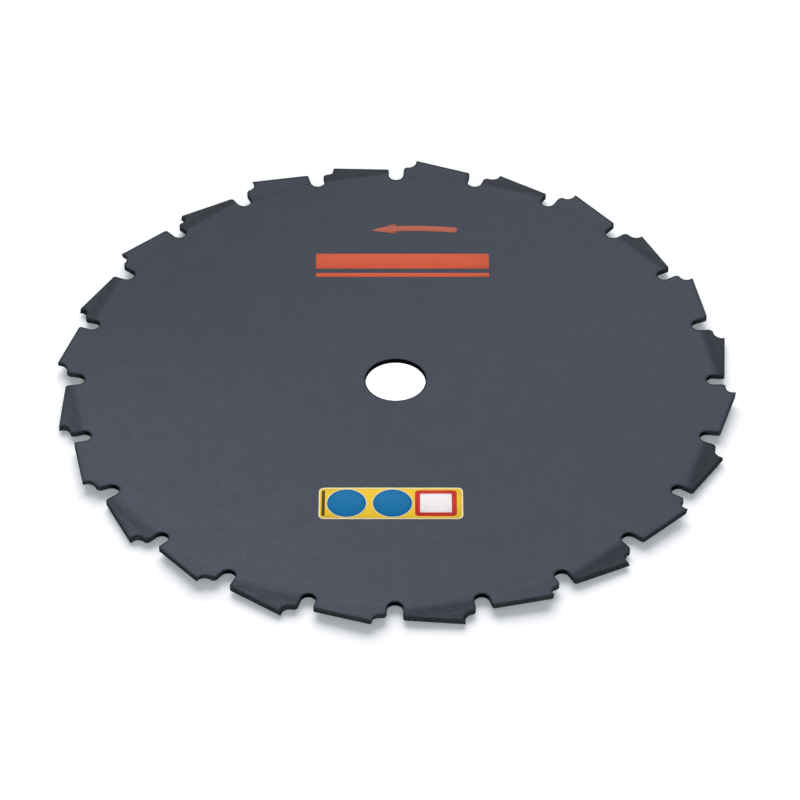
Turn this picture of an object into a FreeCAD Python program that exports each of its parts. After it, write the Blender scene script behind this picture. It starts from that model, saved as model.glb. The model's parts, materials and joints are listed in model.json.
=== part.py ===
import FreeCAD, Part
import Sketcher
import math
import os

# Brush cutter blade
# One plate of hardened steel, punched out, set and filed: a round disc with a plain bore and a ring of
# chisel teeth. Each tooth has a long straight back, a heel, a deep round-bottomed gullet in front of it
# and, between the gullet and the tip, a notch cut with a round file. Every second tooth is bent up and
# the ones between are bent down, and the file is tilted so that the outer corner of each tip leads.
# Millimetres. The origin is the centre of the bore, halfway through the sheet, and +Z is the upper side.
# Seen from above, the blade cuts anticlockwise. A tooth is drawn with its tip on +X and turned from there,
# so that in a sketch X is the radial direction and +Y is the way the tooth moves.

# Driving sizes: name, value, meaning
SIZES = (
    ("outer_diameter", 225, "across the leading corners of the tooth tips"),
    ("sheet_thickness", 1.8, "of the plate all over"),
    ("bore_diameter", 20, "hole for the arbor"),
    ("bore_chamfer", 0.2, "broken edge of the bore, both sides"),
    ("tooth_pairs", 12, "teeth that are set up, with as many set down between them"),
    ("first_tip_angle", -3.75, "degrees from +X to the first tip that is set up"),
    ("gullet_depth", 9.75, "from the tip down to the floor of the gullet"),
    ("gullet_width", 5, "at the gullet's round floor"),
    ("gullet_flare", 5, "degrees between the gullet's two walls"),
    ("land_width", 4.3, "from the tip forward to the gullet's near wall"),
    ("shoulder_rounding", 1.5, "radius between the notch and the gullet"),
    ("back_angle", 14.6, "degrees that the back falls away behind the tip"),
    ("heel_rounding", 0.8, "radius at the low end of the back"),
    ("file_diameter", 5.5, "round file that makes the notch"),
    ("hook_angle", 13.5, "degrees by which the tip leans over the notch"),
    ("file_tilt", 15, "degrees that the file leans from upright"),
    ("notch_dip", 0.05, "how far the notch reaches below the shoulder"),
    ("tip_set", 0.92, "how far the tip is bent out of the plate's middle plane"),
    ("set_depth", 9.1, "from the tip down to the line it is bent along"),
    ("bend_radius", 10, "of that bend, at the middle of the sheet"),
    ("blank_margin", 3, "spare metal and overlap of the blank before it is cut"),
)

# Formulas on the sheet
TIP_RADIUS = "(sizes.outer_diameter / 2)"
HALF_SHEET = "(sizes.sheet_thickness / 2)"
PITCH = "(180 / sizes.tooth_pairs)"
FIRST_UP = "sizes.first_tip_angle"
FIRST_DOWN = f"({FIRST_UP} + {PITCH})"
TEETH = "(2 * sizes.tooth_pairs)"

# The gullet's round floor, and the middle of the next gullet back as the same tooth sees it
GULLET_RADIUS = "(sizes.gullet_width / 2)"
GULLET_X = f"({TIP_RADIUS} - sizes.gullet_depth + {GULLET_RADIUS})"
GULLET_Y = f"(sizes.land_width + {GULLET_RADIUS})"
REAR_GULLET_Y = f"({GULLET_Y} * cos({PITCH}) - {GULLET_X} * sin({PITCH}))"

# The set: where the bend starts and how far it turns
SET_ANGLE = "atan(sizes.tip_set / sizes.set_depth)"
BEND_START = f"({TIP_RADIUS} - sizes.set_depth - sizes.bend_radius * tan({SET_ANGLE} / 2))"
DISC_RADIUS = f"({TIP_RADIUS} - sizes.gullet_depth - sizes.blank_margin)"
ROOT_START = f"({DISC_RADIUS} - sizes.blank_margin)"
BLANK_END = f"({TIP_RADIUS} + sizes.blank_margin)"

# The notch: the file's middle, and the leading corner that its tilt gives the tip
FILE_RADIUS = "(sizes.file_diameter / 2)"
FILE_X = f"({TIP_RADIUS} - {FILE_RADIUS} * sin(sizes.hook_angle))"
FILE_Y = f"({FILE_RADIUS} * cos(sizes.hook_angle) / cos(sizes.file_tilt))"
SHOULDER_X = f"({FILE_X} - {FILE_RADIUS} + sizes.notch_dip)"
TIP_LEAD = f"({HALF_SHEET} * tan(sizes.file_tilt))"
CUT_END = f"({BLANK_END} + sizes.blank_margin)"
FILE_STROKE = "(4 * sizes.sheet_thickness)"

# Points of an edge or arc in a sketch
START, END, CENTRE = range(1, 4)
ORIGIN = (-1, START)
X_AXIS = -1

UP, DOWN = 1, -1


def make_sheet(doc):
    """The spreadsheet that drives every size."""
    sheet = doc.addObject("Spreadsheet::Sheet", "sizes")
    for row, (name, value, meaning) in enumerate(SIZES, start=1):
        sheet.set(f"A{row}", name)
        sheet.set(f"B{row}", str(value))
        sheet.set(f"C{row}", meaning)
        sheet.setAlias(f"B{row}", name)
    doc.recompute()
    return sheet


def value_of(owner, formula):
    """A formula's value as a plain number."""
    value = owner.evalExpression(formula)
    return float(getattr(value, "Value", value))


def origin_feature(body, role):
    """One of the body's own planes or axes."""
    return next(f for f in body.Origin.OriginFeatures if f.Role == role)


def new_sketch(body, name, plane, placement):
    """A sketch on one of the body's planes, turned to its tooth by a formula."""
    sketch = body.newObject("Sketcher::SketchObject", name)
    sketch.AttachmentSupport = [(origin_feature(body, plane), "")]
    sketch.MapMode = "FlatFace"
    if placement:
        sketch.setExpression("AttachmentOffset", placement)
    return sketch


def on_tooth(turn):
    """Placement of an upright sketch, on the XY plane, at a tooth."""
    return f"placement(vector(0; 0; 0); rotation({turn}; 0; 0))"


def beside_tooth(turn):
    """Placement of a side view, on the XZ plane, at a tooth."""
    return f"placement(vector(0; 0; 0); rotation(vector(0; 1; 0); {turn}))"


def drive(sketch, name, formula, kind, *where):
    """A dimension that follows a formula."""
    size = value_of(sketch, formula)
    if kind == "Angle":
        size = math.radians(size)
    index = sketch.addConstraint(Sketcher.Constraint(kind, *where, size))
    sketch.renameConstraint(index, name)
    sketch.setExpression(f"Constraints.{name}", formula)


def tie(sketch, kind, *where):
    """A geometric constraint."""
    sketch.addConstraint(Sketcher.Constraint(kind, *where))


def line(sketch, start, end):
    """A straight edge between two (x, y) points, and its number in the sketch."""
    return sketch.addGeometry(Part.LineSegment(FreeCAD.Vector(*start, 0), FreeCAD.Vector(*end, 0)), False)


def arc(sketch, centre, radius, first, last):
    """An anticlockwise arc between two directions in degrees, and its number in the sketch."""
    circle = Part.Circle(FreeCAD.Vector(*centre, 0), FreeCAD.Vector(0, 0, 1), radius)
    return sketch.addGeometry(Part.ArcOfCircle(circle, math.radians(first), math.radians(last)), False)


def finish_sketch(doc, sketch):
    """Solve, and refuse a sketch that is open to move."""
    doc.recompute()
    if not sketch.FullyConstrained:
        raise RuntimeError(f"{sketch.Name} is not fully constrained")
    return sketch


def around(doc, body, name, feature, count):
    """Repeat a feature round the blade's axis."""
    pattern = body.newObject("PartDesign::PolarPattern", name)
    pattern.Originals = [feature]
    pattern.Axis = (origin_feature(body, "Z_Axis"), [""])
    pattern.Angle = 360
    pattern.setExpression("Occurrences", count)
    body.Tip = pattern
    doc.recompute()
    return pattern


def through(doc, body, name, sketch):
    """Cut a sketch right through the blade, both ways from the middle."""
    cut = body.newObject("PartDesign::Pocket", name)
    cut.Profile = sketch
    cut.SideType = "Symmetric"
    cut.Type = "ThroughAll"
    doc.recompute()
    return cut


def draw_disc(doc, body):
    """The flat middle of the blade, inside the teeth."""
    sketch = new_sketch(body, "DiscOutline", "XY_Plane", None)
    radius = value_of(sketch, DISC_RADIUS)
    rim = sketch.addGeometry(Part.Circle(FreeCAD.Vector(0, 0, 0), FreeCAD.Vector(0, 0, 1), radius), False)
    tie(sketch, "Coincident", rim, CENTRE, *ORIGIN)
    drive(sketch, "rim", f"{DISC_RADIUS} * 2", "Diameter", rim)
    finish_sketch(doc, sketch)
    disc = body.newObject("PartDesign::Pad", "Disc")
    disc.Profile = sketch
    disc.SideType = "Symmetric"
    disc.setExpression("Length", "sizes.sheet_thickness")
    doc.recompute()
    return disc


def draw_set_profile(doc, body, name, turn, side):
    """Side view of a tooth's blank: flat root, bend and straight tooth, all one sheet thick.

    side is UP or DOWN, the way that the tooth is bent."""
    sketch = new_sketch(body, name, "XZ_Plane", beside_tooth(turn))
    half = value_of(sketch, HALF_SHEET)
    bend = value_of(sketch, "sizes.bend_radius")
    lean = value_of(sketch, SET_ANGLE)
    start = value_of(sketch, ROOT_START)
    crease = value_of(sketch, BEND_START)
    end = value_of(sketch, BLANK_END)

    def past_bend(radius):
        """Where the bend ends, on the face that lies at this radius from the bend's middle."""
        x = crease + radius * math.sin(math.radians(lean))
        return x, side * (bend - radius * math.cos(math.radians(lean)))

    def bend_arc(radius):
        """The bent stretch of one face."""
        if side == UP:
            return arc(sketch, (crease, bend), radius, 270, 270 + lean)
        return arc(sketch, (crease, -bend), radius, 90 - lean, 90)

    # The outer face is on the far side of the sheet from the bend's middle
    outer_bent = past_bend(bend + half)
    inner_bent = past_bend(bend - half)
    rise = side * (end - crease) * math.tan(math.radians(lean))
    outer_end = (end, rise - side * half)
    inner_end = (end, rise + side * half)
    outer_root = line(sketch, (start, -side * half), (crease, -side * half))
    outer_bend = bend_arc(bend + half)
    outer_tooth = line(sketch, outer_bent, outer_end)
    edge = line(sketch, outer_end, inner_end)
    inner_tooth = line(sketch, inner_end, inner_bent)
    inner_bend = bend_arc(bend - half)
    inner_root = line(sketch, (crease, side * half), (start, side * half))
    inside = line(sketch, (start, side * half), (start, -side * half))

    # An arc runs anticlockwise, so its ends swap over when the tooth is bent the other way
    near, far = (START, END) if side == UP else (END, START)
    tie(sketch, "Horizontal", outer_root)
    tie(sketch, "Horizontal", inner_root)
    tie(sketch, "Vertical", inside)
    tie(sketch, "Tangent", outer_root, END, outer_bend, near)
    tie(sketch, "Tangent", outer_bend, far, outer_tooth, START)
    tie(sketch, "Coincident", outer_tooth, END, edge, START)
    tie(sketch, "Coincident", edge, END, inner_tooth, START)
    tie(sketch, "Tangent", inner_tooth, END, inner_bend, far)
    tie(sketch, "Tangent", inner_bend, near, inner_root, START)
    tie(sketch, "Coincident", inner_root, END, inside, START)
    tie(sketch, "Coincident", inside, END, outer_root, START)
    tie(sketch, "Coincident", outer_bend, CENTRE, inner_bend, CENTRE)
    tie(sketch, "Perpendicular", edge, outer_tooth)
    tie(sketch, "Parallel", inner_tooth, outer_tooth)
    drive(sketch, "root_start", ROOT_START, "DistanceX", *ORIGIN, outer_root, START)
    drive(sketch, "outer_face", f"{-side} * {HALF_SHEET}", "DistanceY", *ORIGIN, outer_root, START)
    drive(sketch, "inner_face", f"{side} * {HALF_SHEET}", "DistanceY", *ORIGIN, inner_root, START)
    drive(sketch, "bend_start", BEND_START, "DistanceX", *ORIGIN, outer_root, END)
    drive(sketch, "bend_radius", f"sizes.bend_radius - {HALF_SHEET}", "Radius", inner_bend)
    drive(sketch, "lean", f"{side} * {SET_ANGLE}", "Angle", outer_tooth)
    drive(sketch, "blank_end", BLANK_END, "DistanceX", *ORIGIN, outer_tooth, END)
    return finish_sketch(doc, sketch)


def bend_teeth(doc, body, name, turn, side):
    """Add every tooth blank that is bent to one side, from the middle of one gullet to the next."""
    blank = body.newObject("PartDesign::Pad", f"{name}Tooth")
    blank.Profile = draw_set_profile(doc, body, f"{name}SetProfile", turn, side)
    blank.SideType = "Two sides"
    blank.setExpression("Length", f"-1 * {REAR_GULLET_Y}")
    blank.setExpression("Length2", GULLET_Y)
    doc.recompute()
    return around(doc, body, f"{name}Teeth", blank, "sizes.tooth_pairs")


def draw_gap(doc, body):
    """Outline of what is punched out between two tips, seen from above.

    It runs out along the first tooth's blank, in along the next tooth's back, round its heel, round the
    gullet, and over the first tooth's shoulder."""
    sketch = new_sketch(body, "GapOutline", "XY_Plane", on_tooth(FIRST_UP))
    pitch = math.radians(value_of(sketch, PITCH))
    tip = value_of(sketch, TIP_RADIUS)
    lead = value_of(sketch, TIP_LEAD)
    lip_y = value_of(sketch, FILE_Y)
    end_x = value_of(sketch, CUT_END)
    gullet = (value_of(sketch, GULLET_X), value_of(sketch, GULLET_Y))
    radius = value_of(sketch, GULLET_RADIUS)
    land = value_of(sketch, "sizes.land_width")
    shoulder_x = value_of(sketch, SHOULDER_X)
    shoulder = value_of(sketch, "sizes.shoulder_rounding")
    heel = value_of(sketch, "sizes.heel_rounding")
    flare = value_of(sketch, "sizes.gullet_flare")

    # The next tooth's leading corner, and its back through it
    next_tip_x = f"{TIP_RADIUS} * cos({PITCH}) - {TIP_LEAD} * sin({PITCH})"
    next_tip_y = f"{TIP_RADIUS} * sin({PITCH}) + {TIP_LEAD} * cos({PITCH})"
    next_tip = (value_of(sketch, next_tip_x), value_of(sketch, next_tip_y))
    back_direction = f"90 + {PITCH} - sizes.back_angle"
    back_slope = 1 / math.tan(math.radians(value_of(sketch, back_direction)))
    back_end_y = f"{TIP_RADIUS} * sin({PITCH}) + ({FILE_Y} + sizes.blank_margin) * cos({PITCH})"
    back_end = value_of(sketch, back_end_y)

    def back_x(y):
        """Where the next tooth's back is, this far along."""
        return next_tip[0] + (y - next_tip[1]) * back_slope

    # Where the far wall leaves the floor, and a first guess at the heel, which the solver then settles
    normal = math.radians(90 + flare)
    wall_foot = (gullet[0] + radius * math.cos(normal), gullet[1] + radius * math.sin(normal))
    heel_y = wall_foot[1] + (back_x(wall_foot[1]) - wall_foot[0]) * math.tan(math.radians(flare))
    heel_x = back_x(heel_y)

    lip = line(sketch, (shoulder_x, lip_y), (end_x, lip_y))
    outside = line(sketch, (end_x, lip_y), (end_x, back_end))
    far_end = line(sketch, (end_x, back_end), (back_x(back_end), back_end))
    back = line(sketch, (back_x(back_end), back_end), (heel_x, heel_y + heel))
    heel_arc = arc(sketch, (heel_x - heel, heel_y + heel), heel, -90 + flare, 0)
    far_wall = line(sketch, (heel_x - heel, heel_y), wall_foot)
    floor = arc(sketch, gullet, radius, 90 + flare, 270)
    near_wall = line(sketch, (gullet[0], land), (shoulder_x - shoulder, land))
    shoulder_arc = arc(sketch, (shoulder_x - shoulder, land - shoulder), shoulder, 0, 90)
    top = line(sketch, (shoulder_x, land - shoulder), (shoulder_x, lip_y))

    tie(sketch, "Coincident", lip, END, outside, START)
    tie(sketch, "Coincident", outside, END, far_end, START)
    tie(sketch, "Coincident", far_end, END, back, START)
    tie(sketch, "Tangent", back, END, heel_arc, END)
    tie(sketch, "Tangent", heel_arc, START, far_wall, START)
    tie(sketch, "Tangent", far_wall, END, floor, START)
    tie(sketch, "Tangent", floor, END, near_wall, START)
    tie(sketch, "Tangent", near_wall, END, shoulder_arc, END)
    tie(sketch, "Tangent", shoulder_arc, START, top, START)
    tie(sketch, "Coincident", top, END, lip, START)
    tie(sketch, "Horizontal", lip)
    tie(sketch, "Vertical", outside)
    tie(sketch, "Horizontal", far_end)
    tie(sketch, "Horizontal", near_wall)
    tie(sketch, "Vertical", top)

    # The back passes through the leading corner of the next tip
    corner = sketch.addGeometry(Part.Point(FreeCAD.Vector(*next_tip, 0)), True)
    drive(sketch, "next_tip_x", next_tip_x, "DistanceX", *ORIGIN, corner, START)
    drive(sketch, "next_tip_y", next_tip_y, "DistanceY", *ORIGIN, corner, START)
    tie(sketch, "PointOnObject", corner, START, back)
    drive(sketch, "back_direction", back_direction, "Angle", X_AXIS, START, back, END)
    drive(sketch, "back_end", back_end_y, "DistanceY", *ORIGIN, back, START)
    drive(sketch, "lip", FILE_Y, "DistanceY", *ORIGIN, lip, START)
    drive(sketch, "cut_end", CUT_END, "DistanceX", *ORIGIN, outside, START)
    drive(sketch, "heel_rounding", "sizes.heel_rounding", "Radius", heel_arc)
    drive(sketch, "flare", "sizes.gullet_flare", "Angle", X_AXIS, START, far_wall, END)
    drive(sketch, "gullet_radius", GULLET_RADIUS, "Radius", floor)
    drive(sketch, "gullet_depth", GULLET_X, "DistanceX", *ORIGIN, floor, CENTRE)
    drive(sketch, "land_width", "sizes.land_width", "DistanceY", *ORIGIN, near_wall, START)
    drive(sketch, "shoulder_rounding", "sizes.shoulder_rounding", "Radius", shoulder_arc)
    drive(sketch, "shoulder_depth", SHOULDER_X, "DistanceX", *ORIGIN, top, START)
    return finish_sketch(doc, sketch)


def punch_gaps(doc, body):
    """Cut the gullets, backs, heels and shoulders of all the teeth."""
    gap = through(doc, body, "Gap", draw_gap(doc, body))
    return around(doc, body, "Gaps", gap, TEETH)


def file_notches(doc, body, name, turn, side):
    """File the notch in front of each tip that is set to one side, leaning so that its outer corner leads."""
    turned_x = f"({FILE_X} * cos({turn}) - {FILE_Y} * sin({turn}))"
    turned_y = f"({FILE_X} * sin({turn}) + {FILE_Y} * cos({turn}))"
    base = f"vector({turned_x}; {turned_y}; {side} * sizes.tip_set)"
    placement = f"placement({base}; rotation({turn}; 0; {-side} * sizes.file_tilt))"
    sketch = new_sketch(body, f"{name}File", "XY_Plane", placement)
    radius = value_of(sketch, FILE_RADIUS)
    file_round = sketch.addGeometry(Part.Circle(FreeCAD.Vector(0, 0, 0), FreeCAD.Vector(0, 0, 1), radius), False)
    tie(sketch, "Coincident", file_round, CENTRE, *ORIGIN)
    drive(sketch, "file_diameter", "sizes.file_diameter", "Diameter", file_round)
    finish_sketch(doc, sketch)
    notch = body.newObject("PartDesign::Pocket", f"{name}Notch")
    notch.Profile = sketch
    notch.SideType = "Symmetric"
    notch.setExpression("Length", FILE_STROKE)
    doc.recompute()
    return around(doc, body, f"{name}Notches", notch, "sizes.tooth_pairs")


def cut_bore(doc, body):
    """Bore with both edges broken, turned from its half section."""
    sketch = new_sketch(body, "BoreSection", "XZ_Plane", None)
    radius = "(sizes.bore_diameter / 2)"
    wall = f"({HALF_SHEET} - sizes.bore_chamfer)"
    # The chamfer's slope runs on past the face by its own size, so that the cut leaves no skin
    reach = f"({HALF_SHEET} + sizes.bore_chamfer)"
    rim = f"({radius} + 2 * sizes.bore_chamfer)"
    corners = (
        ("0", f"-1 * {reach}"),
        (rim, f"-1 * {reach}"),
        (radius, f"-1 * {wall}"),
        (radius, wall),
        (rim, reach),
        ("0", reach),
    )
    points = [(value_of(sketch, x), value_of(sketch, y)) for x, y in corners]
    count = len(points)
    edges = [line(sketch, points[i], points[(i + 1) % count]) for i in range(count)]
    for i in range(count):
        tie(sketch, "Coincident", edges[i], END, edges[(i + 1) % count], START)
    for i, (x, y) in enumerate(corners):
        drive(sketch, f"corner_x_{i}", x, "DistanceX", *ORIGIN, edges[i], START)
        drive(sketch, f"corner_y_{i}", y, "DistanceY", *ORIGIN, edges[i], START)
    finish_sketch(doc, sketch)
    bore = body.newObject("PartDesign::Groove", "Bore")
    bore.Profile = sketch
    bore.ReferenceAxis = (origin_feature(body, "Z_Axis"), [""])
    bore.Angle = 360
    body.Tip = bore
    doc.recompute()
    return bore


def build_blade(doc):
    """The blade, in the order in which it is made."""
    body = doc.addObject("PartDesign::Body", "Blade")
    body.Label = "blade"
    draw_disc(doc, body)
    bend_teeth(doc, body, "Up", FIRST_UP, UP)
    blank = bend_teeth(doc, body, "Down", FIRST_DOWN, DOWN)
    volumes = [blank.Shape.Volume]
    for cut in (
        punch_gaps(doc, body),
        file_notches(doc, body, "Up", FIRST_UP, UP),
        file_notches(doc, body, "Down", FIRST_DOWN, DOWN),
        cut_bore(doc, body),
    ):
        volumes.append(cut.Shape.Volume)
        print(f"{cut.Name}: {volumes[-2]:.1f} to {volumes[-1]:.1f} mm3")
        if volumes[-1] >= volumes[-2]:
            raise RuntimeError(f"{cut.Name} cut nothing")
    return body


def check(doc, parts):
    """Stop before anything is written if the document or a shape is faulty."""
    for item in doc.Objects:
        if "Invalid" in item.State or "Error" in item.State:
            raise RuntimeError(f"{item.Name} failed: {item.State}")
    for part in parts:
        shape = part.Shape
        if shape.isNull() or not shape.isValid():
            raise RuntimeError(f"{part.Label} has no valid shape")
        if len(shape.Solids) != 1:
            raise RuntimeError(f"{part.Label} is {len(shape.Solids)} solids")


def main():
    doc = FreeCAD.newDocument("brush_cutter_blade")
    make_sheet(doc)
    parts = [build_blade(doc)]
    doc.recompute()
    check(doc, parts)
    os.makedirs("parts", exist_ok=True)
    for part in parts:
        part.Shape.exportStep(f"parts/{part.Label}.step")
        box = part.Shape.BoundBox
        print(f"{part.Label}: {box.XLength:.2f} x {box.YLength:.2f} x {box.ZLength:.2f} mm, "
              f"{part.Shape.Volume:.0f} mm3, {len(part.Shape.Faces)} faces")


main()
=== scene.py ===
# %% [markdown]
# # Brush cutter blade
# The real blade is one sheet of hardened steel. It is punched, its teeth are bent up and down in turn,
# a round file cuts the notch in front of each tip, and then the whole blade gets a thin dark coat.
# Last come two things that lie on the coat: an orange print and a small coloured label.
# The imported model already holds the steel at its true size, so this script doesn't model it again.
# It gives the steel its coat, adds the print and the label as thin pieces of their own, and lights them.

import json
import math

import bmesh
import bpy
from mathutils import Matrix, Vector


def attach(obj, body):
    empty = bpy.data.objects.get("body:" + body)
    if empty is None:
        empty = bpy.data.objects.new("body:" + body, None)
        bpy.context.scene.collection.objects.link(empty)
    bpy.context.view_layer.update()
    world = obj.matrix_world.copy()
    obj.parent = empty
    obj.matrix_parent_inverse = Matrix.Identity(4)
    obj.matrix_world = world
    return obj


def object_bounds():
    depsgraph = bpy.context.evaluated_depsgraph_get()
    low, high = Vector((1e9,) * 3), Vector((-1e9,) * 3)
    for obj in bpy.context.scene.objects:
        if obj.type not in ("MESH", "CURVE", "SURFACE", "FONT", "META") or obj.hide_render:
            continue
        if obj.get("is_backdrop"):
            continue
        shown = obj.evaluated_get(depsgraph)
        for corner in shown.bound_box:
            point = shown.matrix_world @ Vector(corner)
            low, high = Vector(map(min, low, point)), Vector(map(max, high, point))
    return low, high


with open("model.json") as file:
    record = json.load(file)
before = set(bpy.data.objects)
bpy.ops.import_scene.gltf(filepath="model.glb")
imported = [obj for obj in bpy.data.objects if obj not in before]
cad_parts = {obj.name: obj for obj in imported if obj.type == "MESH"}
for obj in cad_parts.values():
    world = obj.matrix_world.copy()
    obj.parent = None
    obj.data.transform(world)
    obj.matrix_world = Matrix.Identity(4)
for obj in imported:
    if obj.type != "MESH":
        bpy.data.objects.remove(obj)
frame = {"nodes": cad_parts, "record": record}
cad_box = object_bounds()
blade = frame["nodes"]["blade"]
mounts = {mount["name"]: mount for mount in frame["record"]["mounts"]}
MM = 0.001
FACE_Z = mounts["upper_clamp_face"]["pos_m"][2]
REST_Z = cad_box[0].z
OUTER_RADIUS = max(math.hypot(v.co.x, v.co.y) for v in blade.data.vertices)
BORE_RADIUS = min(math.hypot(v.co.x, v.co.y) for v in blade.data.vertices)
print(f"blade: bore radius {BORE_RADIUS / MM:.2f} mm, outer radius {OUTER_RADIUS / MM:.2f} mm")
print(f"upper face at {FACE_Z / MM:.2f} mm, rests at {REST_Z / MM:.2f} mm")

# %% [markdown]
# ## The camera
# A product photograph like this one is taken with a long lens, so that the round blade stays a plain
# ellipse and the far teeth are nearly as large as the near ones. The lens and the distance go together:
# a longer lens further away shows the same size with less perspective.
# The camera looks along +Y and down, so one turn about X is enough to aim it.

# %% Place the camera
LENS = 193.2
VIEW_DISTANCE = 1.4161
VIEW_DOWN = math.radians(42.83)
VIEW_AIM = Vector((1.46 * MM, -9.0 * MM, 0))

towards_camera = Vector((0, -math.cos(VIEW_DOWN), math.sin(VIEW_DOWN)))
bpy.ops.object.camera_add(
    location=VIEW_AIM + VIEW_DISTANCE * towards_camera,
    rotation=(math.pi / 2 - VIEW_DOWN, 0, 0),
)
camera = bpy.context.active_object
camera.data.lens = LENS
bpy.context.scene.camera = camera
bpy.context.scene.view_settings.view_transform = "Standard"
print(f"camera at {tuple(round(c, 3) for c in camera.location)}, lens {LENS} mm")

# %% [markdown]
# ## Short ways to write shader nodes
# A material is a small graph of nodes. Written out by hand, each node takes several lines, so these
# helpers add one node and fill its sockets in one call. A socket gets a plain value, or is linked when
# it is given another node's output.

# %% Node helpers
def add_node(tree, kind, sockets=None, **settings):
    """One node. sockets maps the name or number of an input to a value or to another node's output."""
    node = tree.nodes.new(kind)
    for name, value in settings.items():
        setattr(node, name, value)
    for key, value in (sockets or {}).items():
        if isinstance(value, bpy.types.NodeSocket):
            tree.links.new(value, node.inputs[key])
        else:
            node.inputs[key].default_value = value
    return node


def calculate(tree, operation, *values):
    """A Math node's output."""
    return add_node(tree, "ShaderNodeMath", dict(enumerate(values)), operation=operation).outputs[0]


def ramp(tree, value, low, high, start=0.0, end=1.0):
    """Follow a value smoothly from start, where it is low, to end, where it is high."""
    sockets = {"Value": value, "From Min": low, "From Max": high, "To Min": start, "To Max": end}
    return add_node(tree, "ShaderNodeMapRange", sockets, interpolation_type="SMOOTHSTEP").outputs["Result"]


def fade(tree, mask, start, end):
    """Follow a mask smoothly from start, where it is 0, to end, where it is 1."""
    return ramp(tree, mask, 0.0, 1.0, start, end)


def multiply(tree, product, *values):
    """The product of two or more values."""
    for value in values:
        product = calculate(tree, "MULTIPLY", product, value)
    return product


def mix_colour(tree, mask, first, second):
    """The first colour where the mask is 0, and the second where it is 1."""
    sockets = {0: mask, 6: first, 7: second}
    return add_node(tree, "ShaderNodeMix", sockets, data_type="RGBA").outputs[2]


def shade_colour(tree, shade, tint):
    """A colour made lighter or darker by a value that is 1 where it stays as it is."""
    sockets = {"Scale": shade, 0: tint[:3] if isinstance(tint, tuple) else tint}
    return add_node(tree, "ShaderNodeVectorMath", sockets, operation="SCALE").outputs[0]


def flatten(tree, place):
    """A place with its height taken away."""
    return add_node(tree, "ShaderNodeVectorMath", {0: place, 1: (1, 1, 0)}, operation="MULTIPLY").outputs[0]


def radius_at(tree, place):
    """How far a place lies from the bore's middle, in metres."""
    flat = flatten(tree, place)
    return add_node(tree, "ShaderNodeVectorMath", {0: flat}, operation="LENGTH").outputs["Value"]


def across_blade(tree, place, heading):
    """How far a place lies from the bore's middle towards a heading, in metres."""
    towards = (math.cos(heading), math.sin(heading), 0)
    dot = add_node(tree, "ShaderNodeVectorMath", {0: place, 1: towards}, operation="DOT_PRODUCT")
    return dot.outputs["Value"]


def chart_colour(red, green, blue):
    """A colour as read off a chart, 0 to 255, in the linear values that a shader takes."""
    def linear(part):
        share = part / 255
        return share / 12.92 if share <= 0.04045 else ((share + 0.055) / 1.055) ** 2.4
    return linear(red), linear(green), linear(blue), 1.0


print(f"half grey on a chart, 128, is {chart_colour(128, 128, 128)[0]:.3f} to a shader")

# %% [markdown]
# ## The floor and the light
# A wide soft light stands above the blade, behind it and a hair to the left, over a plain pale table. That
# is why the faces are evenly lit, why the walls that look at the camera are dark, and why the soft shadow
# shows along the near edge and in the gullets on both sides.
# A sun lamp with a wide angle gives the same softness everywhere, without a hot spot, so it stands for
# the studio's softbox. Only the way it is turned counts, and not where it stands. The world adds the light
# that a white room sends back from all sides, and more of it from the camera's side, where the studio is
# open. That light picks out the near walls of the teeth.

# %% Light the table
SUN_STRENGTH = 2.7
SUN_ANGLE = math.radians(56)
SUN_FROM_UPRIGHT = math.radians(44)
SUN_TO_THE_LEFT = math.radians(5)
SUN_PLACE = (0, 0.5, 1)
ROOM_LIGHT = 0.19
ROOM_FRONT = 0.95
ROOM_FRONT_RANGE = (0.3, 1.0)
CAMERA_SIDE = (0, -1, 0)

sun_turn = (-SUN_FROM_UPRIGHT, 0, SUN_TO_THE_LEFT)
bpy.ops.object.light_add(type="SUN", location=SUN_PLACE, rotation=sun_turn)
softbox = bpy.context.active_object
softbox.name = "softbox"
softbox.data.energy = SUN_STRENGTH
softbox.data.angle = SUN_ANGLE

room = bpy.data.worlds.new("white_room")
bpy.context.scene.world = room
room.use_nodes = True
room.node_tree.nodes.clear()
WHITE = (1.0, 1.0, 1.0, 1.0)


def seen_directly(tree):
    """1 for what the camera sees, straight, in a gloss or through glass, and 0 for the light itself."""
    path = add_node(tree, "ShaderNodeLightPath").outputs
    seen = calculate(tree, "MAXIMUM", path["Is Camera Ray"], path["Is Glossy Ray"])
    return calculate(tree, "MAXIMUM", seen, path["Is Transmission Ray"])


def mix_shaders(tree, mask, first, second):
    """The first shader node where the mask is 0, and the second where it is 1."""
    sockets = {0: mask, 1: first.outputs[0], 2: second.outputs[0]}
    return add_node(tree, "ShaderNodeMixShader", sockets).outputs[0]


def build_room(tree):
    """White to look at, and a dimmer grey where it lights the blade."""
    way = add_node(tree, "ShaderNodeTexCoord").outputs["Generated"]
    front = add_node(tree, "ShaderNodeVectorMath", {0: way, 1: CAMERA_SIDE}, operation="DOT_PRODUCT")
    strength = ramp(tree, front.outputs["Value"], *ROOM_FRONT_RANGE, ROOM_LIGHT, ROOM_FRONT)
    light = add_node(tree, "ShaderNodeBackground", {"Color": WHITE, "Strength": strength})
    backdrop = add_node(tree, "ShaderNodeBackground", {"Color": WHITE, "Strength": 1.0})
    both = mix_shaders(tree, seen_directly(tree), light, backdrop)
    add_node(tree, "ShaderNodeOutputWorld", {"Surface": both})


build_room(room.node_tree)
print(f"softbox {SUN_STRENGTH}, room {ROOM_LIGHT}")

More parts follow.
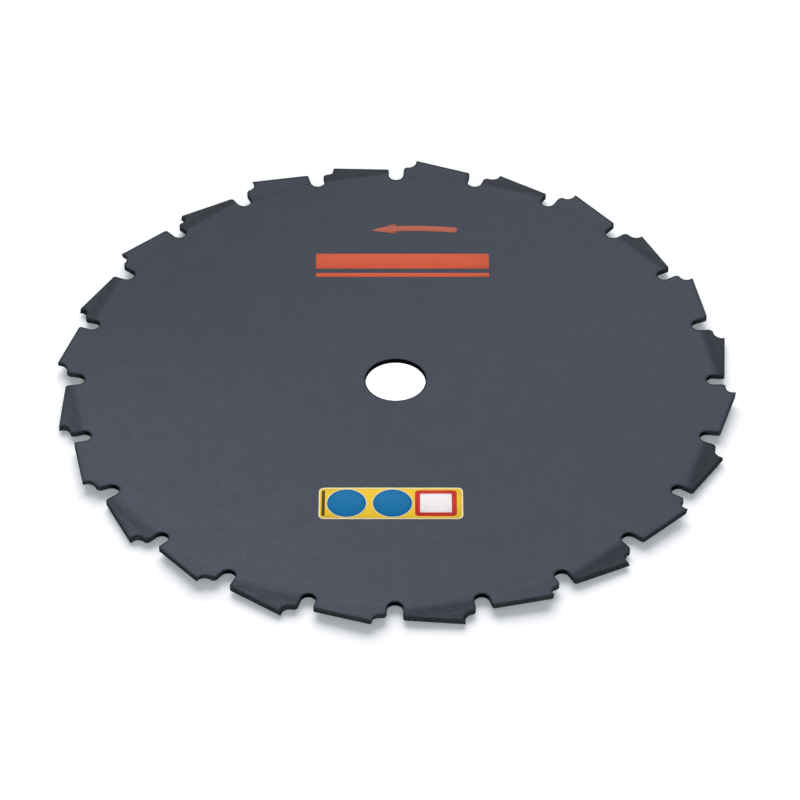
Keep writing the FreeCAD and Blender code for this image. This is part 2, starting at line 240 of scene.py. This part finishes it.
# %% [markdown]
# ## The table top
# A matt white table goes a light grey in a photograph, and the background is whitened afterwards.
# Here the same is done in the table's own material: what the camera sees is a pale colour with a little
# of its own glow, which lifts the lit part to white and leaves the shadow a cool grey. Below the bore it
# glows fully, because a hole is cut out of such a picture and shows no shadow.
# What the blade receives from the table is a plain grey, so that its cut edges stay dark.
# The soft shadow is as long under the teeth that are pressed down as under the others. With the table top
# at the lowest tips it would be too short there, so the top lies a millimetre below them.

# %% Make the table top
TABLE_SIZE = 6.0
TABLE_GAP = 1.0 * MM
TABLE_PALE = (0.96, 0.95, 0.965, 1.0)
TABLE_BOUNCE = (0.22, 0.22, 0.22, 1.0)
TABLE_GLOW = (0.193, 0.215, 0.226, 1.0)
HOLE_MARGIN = (3 * MM, 5 * MM)

bpy.ops.object.select_all(action="DESELECT")
bpy.ops.mesh.primitive_plane_add(size=TABLE_SIZE, location=(0, 0, REST_Z - TABLE_GAP))
table = bpy.context.active_object
table.name = "table_top"
bpy.ops.object.transform_apply(location=True, rotation=True, scale=True)


def build_table_material():
    """Pale and faintly glowing to look at, grey to the blade."""
    material = bpy.data.materials.new("table_white")
    material.use_nodes = True
    tree = material.node_tree
    tree.nodes.clear()
    pale = add_node(tree, "ShaderNodeBsdfDiffuse", {"Color": TABLE_PALE})
    place = add_node(tree, "ShaderNodeTexCoord").outputs["Object"]
    hole_ends = [BORE_RADIUS + margin for margin in HOLE_MARGIN]
    beyond_hole = ramp(tree, radius_at(tree, place), *hole_ends)
    glow_colour = mix_colour(tree, beyond_hole, WHITE, TABLE_GLOW)
    glow = add_node(tree, "ShaderNodeEmission", {"Color": glow_colour, "Strength": 1.0})
    look = add_node(tree, "ShaderNodeAddShader", {0: pale.outputs[0], 1: glow.outputs[0]})
    bounce = add_node(tree, "ShaderNodeBsdfDiffuse", {"Color": TABLE_BOUNCE})
    both = mix_shaders(tree, seen_directly(tree), bounce, look)
    add_node(tree, "ShaderNodeOutputMaterial", {"Surface": both})
    return material


table.data.materials.append(build_table_material())
table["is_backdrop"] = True
print(f"table top at {table.data.vertices[0].co.z / MM:.2f} mm")

# %% [markdown]
# ## Effects that several finishes share
# A sprayed coat, a printed ink and a label's film are all thin layers that went on wet. They show slow
# clouds where the layer is a little thicker, and a fine grain. One node group makes both, and each
# finish places it with its own sizes. Painting each finish by hand would give three unlike surfaces.
# A second group finds the rim of a face, next to a sharp edge. It compares the
# surface's own direction with the direction that a rounded edge would have there.

# %% Group: clouds and grain of a thin layer
NOISE_MEAN = 0.5
CLOUD_DETAIL = (4.0, 0.9)
GRAIN_DETAIL = (2.0, 0.6)


def new_group(name, inputs, outputs):
    """An empty shader node group, with its inputs' outputs and its outputs' inputs."""
    tree = bpy.data.node_groups.new(name, "ShaderNodeTree")
    for label, value in inputs.items():
        socket = tree.interface.new_socket(label, in_out="INPUT", socket_type="NodeSocketFloat")
        socket.default_value = value
    for label in outputs:
        tree.interface.new_socket(label, in_out="OUTPUT", socket_type="NodeSocketFloat")
    return tree, tree.nodes.new("NodeGroupInput").outputs, tree.nodes.new("NodeGroupOutput").inputs


def noise(tree, place, size, detail, roughness=0.5):
    """Noise whose lumps have about this size in metres, as a value from 0 to 1."""
    scale = calculate(tree, "DIVIDE", 1.0, size)
    sockets = {"Vector": place, "Scale": scale, "Detail": detail, "Roughness": roughness}
    return add_node(tree, "ShaderNodeTexNoise", sockets).outputs[0]


def build_layer_group():
    """Clouds and grain round 1, and a height for the bump."""
    tree, given, result = new_group(
        "thin_layer",
        {"Cloud size": 0.02, "Cloud depth": 0.05, "Grain size": 0.0006, "Grain depth": 0.05},
        ("Shade", "Height"),
    )
    place = add_node(tree, "ShaderNodeTexCoord").outputs["Object"]
    cloud_noise = noise(tree, place, given["Cloud size"], *CLOUD_DETAIL)
    grain_noise = noise(tree, place, given["Grain size"], *GRAIN_DETAIL)
    clouds = calculate(tree, "SUBTRACT", cloud_noise, NOISE_MEAN)
    grain = calculate(tree, "SUBTRACT", grain_noise, NOISE_MEAN)
    cloud_part = multiply(tree, clouds, given["Cloud depth"])
    grain_part = multiply(tree, grain, given["Grain depth"])
    shade = calculate(tree, "ADD", calculate(tree, "ADD", cloud_part, grain_part), 1.0)
    tree.links.new(shade, result["Shade"])
    tree.links.new(grain_noise, result["Height"])
    return tree


layer_group = build_layer_group()
print(f"{layer_group.name}: {len(layer_group.nodes)} nodes")

# %% Group: the rim of a face
RIM_START = 0.975
RIM_FULL = 0.93
RIM_SAMPLES = 6


def build_rim_group():
    """1 at a sharp edge, falling to 0 at the given width from it."""
    tree, given, result = new_group("sharp_rim", {"Width": 0.0003}, ("Rim",))
    bevel = add_node(tree, "ShaderNodeBevel", {"Radius": given["Width"]}, samples=RIM_SAMPLES)
    flat = add_node(tree, "ShaderNodeNewGeometry").outputs["True Normal"]
    both = {0: bevel.outputs[0], 1: flat}
    agree = add_node(tree, "ShaderNodeVectorMath", both, operation="DOT_PRODUCT")
    tree.links.new(ramp(tree, agree.outputs["Value"], RIM_START, RIM_FULL), result["Rim"])
    return tree


rim_group = build_rim_group()


def use_group(tree, group, **sockets):
    """Place a node group and set its inputs, with underscores for the spaces in their names."""
    node = tree.nodes.new("ShaderNodeGroup")
    node.node_tree = group
    for name, value in sockets.items():
        node.inputs[name.replace("_", " ")].default_value = value
    return node.outputs


def new_finish(name):
    """An empty material with a Principled shader, its node tree and that shader's inputs."""
    material = bpy.data.materials.new(name)
    material.use_nodes = True
    tree = material.node_tree
    shader = next(node for node in tree.nodes if node.type == "BSDF_PRINCIPLED")
    return material, tree, shader.inputs


print(f"{rim_group.name}: {len(rim_group.nodes)} nodes")

# %% [markdown]
# ## The coat on the open face
# The flat faces have a thin, nearly matt coat of dark blue-grey. It is a little deeper and greener on the
# far side, and two faintly paler fans cross the blade: painted sheen, for the broad light's sheen on the
# coat.
# The fans could be drawn as a picture and laid on, but a picture needs an unwrapped mesh and goes soft
# close up. The product of two distances, measured at right angles to each other, is high in two opposite
# quarters and low in the other two, so it draws the same fans without any picture.

# %% Colours of the open face
COAT_PALER = chart_colour(78, 83, 95)
COAT_DEEPER = chart_colour(67, 73, 83)
DEEPER_TOWARDS = math.radians(84)
DEEPER_RANGE = (-0.08, 0.16)
PATCH_SIZE = 0.09
PATCH_DETAIL = 1.0
PATCH_PUSH = 0.08
# Painted sheen: the two paler fans stand in for the broad light's sheen, with painted shade between them.
SHEEN_FANS_AT = math.radians(43)
SHEEN_FANS_DEPTH = 0.07


def painted_sheen_fans(tree, place, depth):
    """Painted sheen: paler in two fans across the blade and painted shade between them, by up to this share
    at the rim.
    """
    one_way = across_blade(tree, place, SHEEN_FANS_AT - math.pi / 4)
    other_way = across_blade(tree, place, SHEEN_FANS_AT + math.pi / 4)
    reach = OUTER_RADIUS ** 2 / 2
    return ramp(tree, multiply(tree, one_way, other_way), -reach, reach, 1 - depth, 1 + depth)


def face_tint(tree, place):
    """The coat's colour on the face: deeper towards one side, in soft patches."""
    patches = noise(tree, place, PATCH_SIZE, PATCH_DETAIL)
    lean = across_blade(tree, place, DEEPER_TOWARDS)
    pushed = calculate(tree, "MULTIPLY_ADD", patches, PATCH_PUSH, lean)
    return mix_colour(tree, ramp(tree, pushed, *DEEPER_RANGE), COAT_PALER, COAT_DEEPER)


def print_colours(title, *colours):
    """Print colours as the linear values that the shader gets."""
    print(f"{title}:", *(tuple(round(part, 3) for part in colour[:3]) for colour in colours))


print_colours("open face, paler and deeper", COAT_PALER, COAT_DEEPER)

# %% [markdown]
# ## The coat on the teeth
# Every second tooth is pressed down and the others are pressed up. On the side that is pushed in, the coat
# is painted darker from the crease outwards: painted shade where the bent metal turns away from the broad
# light's sheen, paler on one side of the blade and deeper on the other. The same places have faint lines
# that follow the rim, because the metal was stretched.
# Where a tooth stands higher than the face, its coat has painted light on the far side of the blade and
# painted shade on the near side, against the light's own shading, so that the tooth keeps the tone of the
# face beside it.
# Twelve teeth on each side could be painted one by one. But a surface that was pushed in lies deeper than
# the flat face, and one that was pushed out lies higher, so the depth alone tells where each shade goes.

# %% Painted light and shade of the raised teeth
PRESS_START = 0.015 * MM
PRESS_FULL = 0.3 * MM
FAR_SIDE = math.radians(90)
ACROSS_TEETH = (-0.1, 0.1)
# Painted light and shade on raised teeth: deeper on the near side, paler on the far side.
RAISED_PAINTED_SHADE = (-0.1, 0.12)


def raised_painted_shade(tree, place, depth):
    """1 on the face. Where a tooth stands above it, painted light on the far side and painted shade on the
    near side.
    """
    raised = ramp(tree, depth, -PRESS_START, -PRESS_FULL)
    change = ramp(tree, across_blade(tree, place, FAR_SIDE), *ACROSS_TEETH, *RAISED_PAINTED_SHADE)
    return calculate(tree, "MULTIPLY_ADD", raised, change, 1.0)


near_painted_shade, far_painted_shade = (1 + change for change in RAISED_PAINTED_SHADE)
print(f"raised teeth: {near_painted_shade:.2f} times as bright on the near side, {far_painted_shade:.2f} on the far side")

# %% Lines that follow the rim
SET_LINES_EVERY = 0.45 * MM
SET_LINES_DETAIL = 3.0
SET_LINES_STRETCH = 0.08
SET_LINES_DEPTH = 0.17
NOISE_ENDS = (0.3, 0.7)


def rim_lines(tree, place):
    """Lighter and darker lines along circles round the bore, as a shade round 1."""
    flat = flatten(tree, place)
    way_out = add_node(tree, "ShaderNodeVectorMath", {0: flat}, operation="NORMALIZE").outputs[0]
    stretch = {0: way_out, "Scale": OUTER_RADIUS * SET_LINES_STRETCH}
    along = add_node(tree, "ShaderNodeVectorMath", stretch, operation="SCALE").outputs[0]
    across = add_node(tree, "ShaderNodeCombineXYZ", {"Z": radius_at(tree, place)}).outputs[0]
    both = add_node(tree, "ShaderNodeVectorMath", {0: along, 1: across}, operation="ADD").outputs[0]
    lines = noise(tree, both, SET_LINES_EVERY, SET_LINES_DETAIL)
    return ramp(tree, lines, *NOISE_ENDS, 1 - SET_LINES_DEPTH, 1 + SET_LINES_DEPTH)


print(f"rim lines {SET_LINES_EVERY / MM:.2f} mm wide, up to {SET_LINES_DEPTH:.0%} lighter or darker")

# %% Colour and painted shade of the pressed teeth
# Painted shade: lit and shaded copies of the coat for the pressed teeth, paler on one side, deeper on the
# other.
PRESSED_PAINTED_LIT = chart_colour(68, 73, 82)
PRESSED_PAINTED_SHADE = chart_colour(54, 58, 65)
PRESSED_PAINTED_SHADE_TOWARDS = math.radians(58)
PRESSED_SHEEN_FANS_DEPTH = 0.17
# Painted shade along the crease, fading out as the tooth goes deeper.
CREASE_SHADE_END = (0.35 * MM, 0.65 * MM)
CREASE_PAINTED_SHADE = 0.84


def pressed_colour_and_shade(tree, place, depth, layer_shade):
    """Painted shade: darker than the face and darkest at the crease, with lines along the rim."""
    lean = across_blade(tree, place, PRESSED_PAINTED_SHADE_TOWARDS)
    tint = mix_colour(tree, ramp(tree, lean, *ACROSS_TEETH), PRESSED_PAINTED_LIT, PRESSED_PAINTED_SHADE)
    crease = ramp(tree, depth, *CREASE_SHADE_END, CREASE_PAINTED_SHADE, 1.0)
    fans = painted_sheen_fans(tree, place, PRESSED_SHEEN_FANS_DEPTH)
    return shade_colour(tree, multiply(tree, layer_shade, rim_lines(tree, place), crease, fans), tint)


print_colours("pressed teeth, paler and deeper", PRESSED_PAINTED_LIT, PRESSED_PAINTED_SHADE)

# %% [markdown]
# ## The cut walls
# The walls that the punch and the file cut are rougher and darker than the faces. In the gullets and the
# bore, where little light comes in, they are painted almost black, as painted shade. The punch left upright
# streaks in them.
# They could get a material of their own, but then each face would have to be picked. A wall is simply
# where the surface looks sideways and not up or down, so the shader itself can tell.

# %% Colour of the cut walls
# Painted shade: almost black on the walls in the gullets and the bore.
SHADED_GULLET_WALL = chart_colour(10, 11, 14)
EDGE_WALL = chart_colour(66, 71, 74)
WALL_TURN = (0.9, 0.75)
SHADED_GULLETS_WITHIN = (0.103, 0.107)
STREAKS_EVERY = 0.25 * MM
STREAK_DETAIL = 2.0
STREAK_DEPTH = 0.5
STREAK_STRETCH = 0.1


def wall_streaks(tree, place):
    """Upright streaks that the punch left, as a value from 0 to 1."""
    upright = add_node(tree, "ShaderNodeMapping", {"Vector": place, "Scale": (1, 1, STREAK_STRETCH)})
    return noise(tree, upright.outputs[0], STREAKS_EVERY, STREAK_DETAIL)


def wall_colour(tree, place, streaks):
    """Painted shade, almost black, in the gullets and the bore; dark grey beyond them, with streaks."""
    shade = ramp(tree, streaks, *NOISE_ENDS, 1 - STREAK_DEPTH, 1 + STREAK_DEPTH)
    beyond_shaded_gullets = ramp(tree, radius_at(tree, place), *SHADED_GULLETS_WITHIN)
    return shade_colour(tree, shade, mix_colour(tree, beyond_shaded_gullets, SHADED_GULLET_WALL, EDGE_WALL))


print_colours("walls, in the gullets and beyond them", SHADED_GULLET_WALL, EDGE_WALL)

# %% [markdown]
# ## Putting the coat together
# The shades go over one another like layers of paint: first the open face with its painted sheen and the
# painted light and shade of its raised teeth, then the painted shade of the pressed teeth, then a dark line
# along the sharp edges, and last the walls, with painted shade in the gullets and the bore.
# The layer group gives the faces and the teeth the same clouds and grain.

# %% Build the coat
RIM_WIDTH = 1.6 * MM
RIM_DARKER = 0.35
COAT_ROUGH = 0.6
WALL_ROUGH = 1.0
COAT_GLOSS = 0.04
GRAIN_HEIGHT = 0.012 * MM
COAT_LAYER = {"Cloud_size": 10 * MM, "Cloud_depth": 0.62, "Grain_size": 1.1 * MM, "Grain_depth": 0.55}


def build_coat():
    """Dark blue-grey coat that knows faces, pressed teeth, cut walls and rims from the shape."""
    material, tree, shader = new_finish("dark_coat")
    coordinates = add_node(tree, "ShaderNodeTexCoord").outputs
    place = coordinates["Object"]
    height_here = add_node(tree, "ShaderNodeSeparateXYZ", {0: place}).outputs["Z"]
    facing_up = add_node(tree, "ShaderNodeSeparateXYZ", {0: coordinates["Normal"]}).outputs["Z"]
    depth = calculate(tree, "SUBTRACT", FACE_Z, multiply(tree, height_here, facing_up))
    layer = use_group(tree, layer_group, **COAT_LAYER)
    rim = use_group(tree, rim_group, Width=RIM_WIDTH)["Rim"]

    # Painted sheen in fans, and painted light and shade on the raised teeth.
    fans = painted_sheen_fans(tree, place, SHEEN_FANS_DEPTH)
    face_shade = multiply(tree, layer["Shade"], fans, raised_painted_shade(tree, place, depth))
    face = shade_colour(tree, face_shade, face_tint(tree, place))
    # Painted shade on the pressed teeth, darkest at the crease.
    pressed = ramp(tree, depth, PRESS_START, PRESS_FULL)
    face = mix_colour(tree, pressed, face, pressed_colour_and_shade(tree, place, depth, layer["Shade"]))
    face = shade_colour(tree, fade(tree, rim, 1.0, RIM_DARKER), face)

    # The walls carry painted shade, almost black, in the gullets and the bore.
    wall = ramp(tree, calculate(tree, "ABSOLUTE", facing_up), *WALL_TURN)
    streaks = wall_streaks(tree, place)
    tree.links.new(mix_colour(tree, wall, face, wall_colour(tree, place, streaks)), shader["Base Color"])
    rough = fade(tree, wall, COAT_ROUGH, WALL_ROUGH)
    tree.links.new(multiply(tree, layer["Shade"], rough), shader["Roughness"])
    shader["Specular IOR Level"].default_value = COAT_GLOSS
    height = calculate(tree, "ADD", layer["Height"], multiply(tree, wall, streaks))
    bump = add_node(tree, "ShaderNodeBump", {"Height": height, "Distance": GRAIN_HEIGHT})
    tree.links.new(bump.outputs[0], shader["Normal"])
    return material


blade.data.materials.clear()
blade.data.materials.append(build_coat())
print(f"coat: {len(blade.data.materials[0].node_tree.nodes)} nodes")

# %% [markdown]
# ## Inks and label film
# The print is an orange ink, thinner on the arrow, and the label is a smooth film with fields of ink on
# it. Both are thin layers, so they share the layer group, with finer clouds and grain than the coat. Only
# the colour, the roughness and the depth of the clouds differ, so one function makes them all.

# %% Build the inks
INK_GLOSS = 0.04
INK_GRAIN = {"Grain_size": 0.5 * MM, "Grain_depth": 0.12}
INK_CLOUD_SIZE = 4 * MM
INK_RIM = {"Width": 0.12 * MM}
INK_RIM_DARKER = 0.85
INK_HEIGHT = 0.004 * MM


def build_ink(name, colour, rough, cloud_depth):
    """A thin printed colour."""
    material, tree, shader = new_finish(name)
    layer = use_group(tree, layer_group, Cloud_size=INK_CLOUD_SIZE, Cloud_depth=cloud_depth, **INK_GRAIN)
    rim = use_group(tree, rim_group, **INK_RIM)["Rim"]
    shade = multiply(tree, layer["Shade"], fade(tree, rim, 1.0, INK_RIM_DARKER))
    tree.links.new(shade_colour(tree, shade, colour), shader["Base Color"])
    tree.links.new(multiply(tree, layer["Shade"], rough), shader["Roughness"])
    shader["Specular IOR Level"].default_value = INK_GLOSS
    bump = add_node(tree, "ShaderNodeBump", {"Height": layer["Height"], "Distance": INK_HEIGHT})
    tree.links.new(bump.outputs[0], shader["Normal"])
    return material


ORANGE = build_ink("orange_ink", chart_colour(214, 94, 62), rough=0.5, cloud_depth=0.25)
ARROW_ORANGE = build_ink("orange_ink_thin", chart_colour(188, 102, 84), rough=0.5, cloud_depth=0.6)
YELLOW = build_ink("yellow_ink", chart_colour(247, 204, 52), rough=0.4, cloud_depth=0.08)
PALE = build_ink("pale_film", chart_colour(252, 240, 192), rough=0.4, cloud_depth=0.08)
BLUE = build_ink("blue_ink", chart_colour(0, 114, 172), rough=0.4, cloud_depth=0.12)
RED = build_ink("red_ink", chart_colour(206, 48, 42), rough=0.4, cloud_depth=0.12)
WHITE_INK = build_ink("white_ink", chart_colour(250, 246, 248), rough=0.4, cloud_depth=0.05)
DARK = build_ink("dark_ink", chart_colour(84, 62, 22), rough=0.5, cloud_depth=0.2)
INKS = (ORANGE, ARROW_ORANGE, YELLOW, PALE, BLUE, RED, WHITE_INK, DARK)
print("inks:", ", ".join(ink.name for ink in INKS))

# %% [markdown]
# ## Making thin flat pieces
# Ink and film could be painted into the coat's material, but then they would have no edge of their own
# and the export would lose their outline. So each is a thin solid that lies on what it was printed or
# stuck on, and reaches a hair into it so that no slit shows.
# They all start from a flat face in edit mode. Its corners are rounded with a bevel of its vertices, it is
# raised with an extrude, and the upper rim gets a small bevel that catches the light.

# %% Helpers for thin pieces
SINK = 0.01 * MM
INK_THICKNESS = 0.03 * MM
FILM_THICKNESS = 0.1 * MM
ROUND_STEPS = 8
RIM_BEVEL_SHARE = 1 / 3
RIM_BEVEL_STEPS = 2
SMOOTH_BELOW = math.radians(30)


def start_flat(name, operator, **settings):
    """Add a flat primitive at the origin and enter edit mode with all of it selected."""
    bpy.ops.object.select_all(action="DESELECT")
    operator(location=(0, 0, 0), **settings)
    piece = bpy.context.active_object
    piece.name = name
    bpy.ops.object.mode_set(mode="EDIT")
    bpy.ops.mesh.select_all(action="SELECT")
    return piece


def select_where(piece, kind, test):
    """In edit mode, select the vertices, edges or faces whose middle passes a test."""
    bpy.ops.mesh.select_mode(type=kind)
    bpy.ops.mesh.select_all(action="DESELECT")
    mesh = bmesh.from_edit_mesh(piece.data)
    parts = {"VERT": mesh.verts, "EDGE": mesh.edges, "FACE": mesh.faces}[kind]
    for part in parts:
        corners = [part] if kind == "VERT" else part.verts
        middle = sum((v.co for v in corners), Vector()) / len(corners)
        part.select_set(test(middle))
    mesh.select_flush_mode()
    bmesh.update_edit_mesh(piece.data)


def put_on_blade(piece):
    """Attach a finished piece to the root body, and print its size."""
    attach(piece, "root")
    corners = [v.co for v in piece.data.vertices]
    low = [min(c[i] for c in corners) / MM for i in range(3)]
    high = [max(c[i] for c in corners) / MM for i in range(3)]
    print(f"{piece.name}: {high[0] - low[0]:.2f} by {high[1] - low[1]:.2f} mm, top at {high[2]:.3f} mm")


def raise_and_place(piece, centre, bottom, thickness, ink, turn=0.0):
    """Give a flat outline its thickness, round its upper rim, and put it in its place on the blade."""
    bpy.ops.mesh.select_all(action="SELECT")
    bpy.ops.mesh.extrude_region_move(TRANSFORM_OT_translate={"value": (0, 0, thickness + SINK)})
    bpy.ops.mesh.region_to_loop()
    bpy.ops.mesh.bevel(offset=thickness * RIM_BEVEL_SHARE, segments=RIM_BEVEL_STEPS, affect="EDGES")
    bpy.ops.mesh.select_all(action="SELECT")
    bpy.ops.mesh.normals_make_consistent(inside=False)
    bpy.ops.object.mode_set(mode="OBJECT")
    piece.location = (*centre, bottom - SINK)
    piece.rotation_euler.z = turn
    bpy.ops.object.transform_apply(location=True, rotation=True, scale=True)
    bpy.ops.object.shade_smooth_by_angle(angle=SMOOTH_BELOW)
    piece.data.materials.append(ink)
    put_on_blade(piece)


print(f"ink {INK_THICKNESS / MM:.2f} mm thick, film {FILM_THICKNESS / MM:.2f} mm")

# %% [markdown]
# ## The arrow
# The arrow shows which way the blade turns. It is printed along a curve like the rim's, so its shaft is
# a piece of a ring and not a straight bar. Drawing that outline point by point would be slow. Instead a
# short edge as wide as the shaft is spun about the curve's centre, which sweeps out the shaft. Its last
# edge is then widened to the back of the head, drawn out along the curve and merged to a point. A bevel
# of vertices rounds the tail.
# It is modelled with its tail straight above the origin, and turned into place afterwards.

# %% Model the arrow
ARROW_MIDDLE = (6.25 * MM, 76.9 * MM)
ARROW_LENGTH = 29.6 * MM
HEAD_LENGTH = 8.6 * MM
SHAFT_WIDTH = 2.7 * MM
HEAD_WIDTH = 5.1 * MM
TAIL_ROUNDING = 0.8 * MM
BARB = 0.2 * MM
SHAFT_STEPS = 12
NEARLY = 0.01 * MM


def on_curve(along):
    """The point of the arrow's curve this far from its tail."""
    angle = math.pi / 2 + along / OUTER_RADIUS
    return Vector((OUTER_RADIUS * math.cos(angle), OUTER_RADIUS * math.sin(angle), 0))


def model_arrow():
    """Shaft by a spin, head by extruding the shaft's last edge."""
    arrow = start_flat("turn_arrow", bpy.ops.mesh.primitive_plane_add, size=SHAFT_WIDTH)
    select_where(arrow, "VERT", lambda middle: middle.x < 0)
    bpy.ops.mesh.delete(type="VERT")
    bpy.ops.mesh.select_all(action="SELECT")
    bpy.ops.transform.translate(value=(-SHAFT_WIDTH / 2, OUTER_RADIUS, 0))
    shaft_length = ARROW_LENGTH - HEAD_LENGTH
    sweep = {"steps": SHAFT_STEPS, "angle": shaft_length / OUTER_RADIUS}
    bpy.ops.mesh.spin(center=(0, 0, 0), axis=(0, 0, -1), **sweep)
    head_back = on_curve(shaft_length)
    barbs = on_curve(shaft_length + BARB)
    tip = on_curve(ARROW_LENGTH)
    bpy.ops.mesh.extrude_edges_move(TRANSFORM_OT_translate={"value": barbs - head_back})
    widen = HEAD_WIDTH / SHAFT_WIDTH
    bpy.ops.transform.resize(value=(widen, widen, 1), center_override=barbs)
    bpy.ops.mesh.extrude_edges_move(TRANSFORM_OT_translate={"value": tip - barbs})
    bpy.ops.mesh.merge(type="CENTER")
    select_where(arrow, "VERT", lambda middle: abs(middle.x) < NEARLY)
    bpy.ops.mesh.bevel(offset=TAIL_ROUNDING, segments=ROUND_STEPS, affect="VERTICES")
    return arrow


half_turn = ARROW_LENGTH / 2 / OUTER_RADIUS
curve_centre = (ARROW_MIDDLE[0], ARROW_MIDDLE[1] - OUTER_RADIUS)
raise_and_place(model_arrow(), curve_centre, FACE_Z, INK_THICKNESS, ARROW_ORANGE, turn=-half_turn)

# %% [markdown]
# ## The printed bars
# Below the arrow the same ink, laid on more thickly, fills a broad field: a wide bar with a thin one
# under it.
# Each bar is a rounded rectangle: a square face is stretched to its size, and then its four corners
# are rounded with a bevel of vertices. The label's film and fields are made with the same function.

# %% Model the bars
MARK_CENTRE = (2.3 * MM, 57.6 * MM)
MARK_WIDTH = 59 * MM
MARK_HEIGHT = 12 * MM
BAR_HEIGHTS = {"wide": 7.8 * MM, "thin": 2.0 * MM}
BAR_CORNER = 0.4 * MM


def rounded_rectangle(name, width, height, corner):
    """A flat rectangle with round corners, in edit mode."""
    piece = start_flat(name, bpy.ops.mesh.primitive_plane_add, size=1)
    bpy.ops.transform.resize(value=(width, height, 1))
    bpy.ops.mesh.bevel(offset=corner, segments=ROUND_STEPS, affect="VERTICES")
    return piece


mark_top = MARK_CENTRE[1] + MARK_HEIGHT / 2
mark_bottom = MARK_CENTRE[1] - MARK_HEIGHT / 2
middles = {"wide": mark_top - BAR_HEIGHTS["wide"] / 2, "thin": mark_bottom + BAR_HEIGHTS["thin"] / 2}
for name, height in BAR_HEIGHTS.items():
    bar = rounded_rectangle(f"printed_bar_{name}", MARK_WIDTH, height, BAR_CORNER)
    raise_and_place(bar, (MARK_CENTRE[0], middles[name]), FACE_Z, INK_THICKNESS, ORANGE)

# %% [markdown]
# ## The label
# The label is a pale film with round corners, stuck on below the bore. Yellow is printed on it almost out
# to its edge. On the yellow lie plain fields of colour: a dark rule, two blue discs on pale ones, and a
# white panel on a red one.
# A border could be a thin ring round each field. Two full fields, the smaller on the larger, show the same
# border with plainer meshes, and it is also how such labels are printed: one ink over another.
# The two discs are alike, so one is modelled and then copied.

# %% Model the label's film
LABEL_CENTRE = (-1.45 * MM, -58.85 * MM)
LABEL_SIZE = (46.4 * MM, 14.4 * MM)
LABEL_CORNER = 1.8 * MM
YELLOW_MARGIN = 0.45 * MM
FILM_TOP = FACE_Z + FILM_THICKNESS


def ink_level(inks_below):
    """The height at which an ink lies that has this many others under it."""
    return FILM_TOP + inks_below * INK_THICKNESS


film = rounded_rectangle("label_film", *LABEL_SIZE, LABEL_CORNER)
raise_and_place(film, LABEL_CENTRE, FACE_Z, FILM_THICKNESS, PALE)

yellow_size = [side - 2 * YELLOW_MARGIN for side in LABEL_SIZE]
yellow = rounded_rectangle("label_yellow", *yellow_size, LABEL_CORNER - YELLOW_MARGIN)
raise_and_place(yellow, LABEL_CENTRE, ink_level(0), INK_THICKNESS, YELLOW)

# %% Model the label's fields
RULE_CENTRE = (-23.2 * MM, LABEL_CENTRE[1])
RULE_SIZE = (1.0 * MM, 11.6 * MM)
RULE_CORNER = 0.2 * MM
DISC_RADIUS = 6.3 * MM
DISC_BORDER = 0.35 * MM
DISC_EDGES = 64
DISC_CENTRE = (-15.7 * MM, LABEL_CENTRE[1])
DISC_SPACING = 14.75 * MM
PANEL_CENTRE = (13.0 * MM, LABEL_CENTRE[1])
PANEL_SIZE = (13.4 * MM, 11.8 * MM)
PANEL_CORNER = 1.2 * MM
PANEL_BORDER = 1.6 * MM
WHITE_CORNER = 0.4 * MM


def disc(name, radius):
    """A flat round face, in edit mode."""
    shape = {"vertices": DISC_EDGES, "radius": radius, "fill_type": "NGON"}
    return start_flat(name, bpy.ops.mesh.primitive_circle_add, **shape)


def copy_to_the_right(piece, name, distance):
    """A copy of a finished piece, with its own mesh, moved along X."""
    bpy.ops.object.select_all(action="DESELECT")
    piece.select_set(True)
    bpy.context.view_layer.objects.active = piece
    bpy.ops.object.duplicate(linked=False)
    copy = bpy.context.active_object
    copy.name = name
    bpy.ops.transform.translate(value=(distance, 0, 0))
    bpy.ops.object.transform_apply(location=True, rotation=True, scale=True)
    put_on_blade(copy)


rule = rounded_rectangle("label_rule", *RULE_SIZE, RULE_CORNER)
raise_and_place(rule, RULE_CENTRE, ink_level(1), INK_THICKNESS, DARK)

disc_under = disc("label_disc_left_under", DISC_RADIUS + DISC_BORDER)
raise_and_place(disc_under, DISC_CENTRE, ink_level(1), INK_THICKNESS, PALE)
disc_over = disc("label_disc_left", DISC_RADIUS)
raise_and_place(disc_over, DISC_CENTRE, ink_level(2), INK_THICKNESS, BLUE)
copy_to_the_right(disc_under, "label_disc_right_under", DISC_SPACING)
copy_to_the_right(disc_over, "label_disc_right", DISC_SPACING)

panel_under = rounded_rectangle("label_panel_under", *PANEL_SIZE, PANEL_CORNER)
raise_and_place(panel_under, PANEL_CENTRE, ink_level(1), INK_THICKNESS, RED)

white_size = [side - 2 * PANEL_BORDER for side in PANEL_SIZE]
panel = rounded_rectangle("label_panel", *white_size, WHITE_CORNER)
raise_and_place(panel, PANEL_CENTRE, ink_level(2), INK_THICKNESS, WHITE_INK)

# %% [markdown]
# ## Closing
# The box of the steel as it was packed and the box of all that Blender shows are printed side by side.
# Blender must not make the blade larger than the steel that was packed.

# %% Print the boxes and finish
visual_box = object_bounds()
boxes = {
    "cad": [list(cad_box[0]), list(cad_box[1])],
    "visual": [list(visual_box[0]), list(visual_box[1])],
}
for name, (low, high) in boxes.items():
    print(f"{name} box in mm:", [round((high[i] - low[i]) / MM, 2) for i in range(3)])
